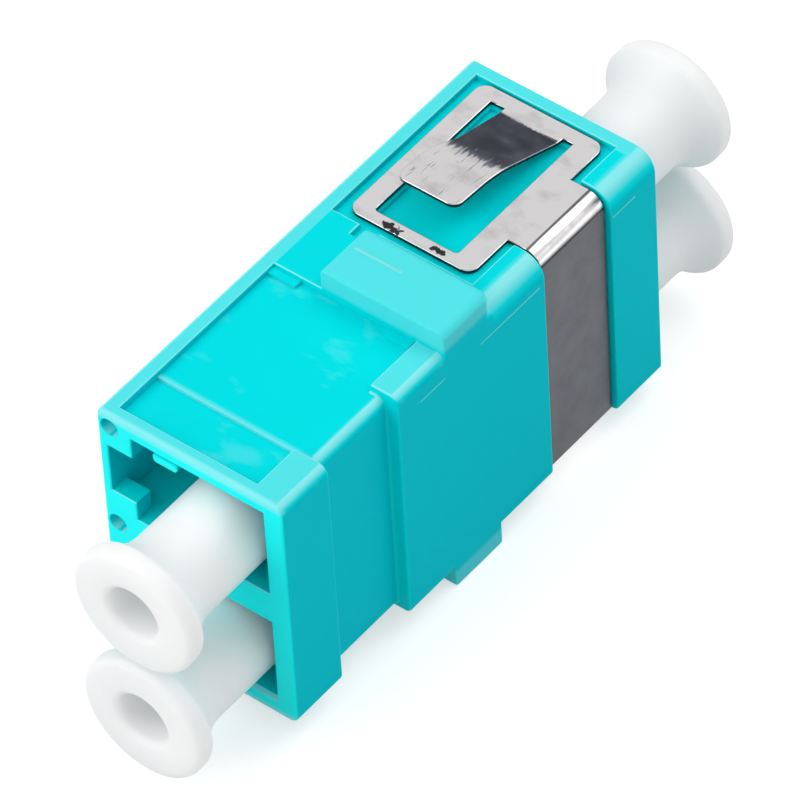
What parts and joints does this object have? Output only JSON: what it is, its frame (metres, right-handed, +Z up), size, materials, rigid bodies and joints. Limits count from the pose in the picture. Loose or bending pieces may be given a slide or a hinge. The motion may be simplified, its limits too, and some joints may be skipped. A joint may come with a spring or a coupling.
{
  "type": "duplex fibre optic adapter",
  "caption": "Narrow duplex fibre adapter with a sprung steel panel clip, stop pads, split sleeves and flared dust plugs in its ports.",
  "frame": {"origin": "on the surface that the adapter stands on, under the middle of its bounding box", "axes": "+Z up along the two ports, +Y along the fibres towards the clip's end, +X towards the face that the clip's bridge lies on"},
  "size_m": [0.0094, 0.0352, 0.0147],
  "materials": {
    "housing_plastic": "satin moulded, aqua",
    "clip_steel": "bright rolled spring strip",
    "holder_plastic": "fine moulded, aqua",
    "sleeve_ceramic": "polished white",
    "plug_plastic": "soft moulded, slightly translucent white"
  },
  "bodies": {
    "adapter": {"housing": "housing_plastic", "spring_clip": "clip_steel", "upper_sleeve_holder_near": "holder_plastic", "upper_sleeve_holder_far": "holder_plastic", "lower_sleeve_holder_near": "holder_plastic", "lower_sleeve_holder_far": "holder_plastic", "upper_split_sleeve": "sleeve_ceramic", "lower_split_sleeve": "sleeve_ceramic"},
    "upper_dust_plug_near_body": {"upper_dust_plug_near": "plug_plastic"},
    "lower_dust_plug_near_body": {"lower_dust_plug_near": "plug_plastic"},
    "upper_dust_plug_far_body": {"upper_dust_plug_far": "plug_plastic"},
    "lower_dust_plug_far_body": {"lower_dust_plug_far": "plug_plastic"}
  },
  "joints": [
    {"name": "upper_dust_plug_near_pull", "type": "slide", "parent": "adapter", "child": "upper_dust_plug_near_body", "axis": [0, -1, 0], "range_m": [0, 0.016]},
    {"name": "lower_dust_plug_near_pull", "type": "slide", "parent": "adapter", "child": "lower_dust_plug_near_body", "axis": [0, -1, 0], "range_m": [0, 0.016]},
    {"name": "upper_dust_plug_far_pull", "type": "slide", "parent": "adapter", "child": "upper_dust_plug_far_body", "axis": [0, 1, 0], "range_m": [0, 0.016]},
    {"name": "lower_dust_plug_far_pull", "type": "slide", "parent": "adapter", "child": "lower_dust_plug_far_body", "axis": [0, 1, 0], "range_m": [0, 0.016]}
  ]
}
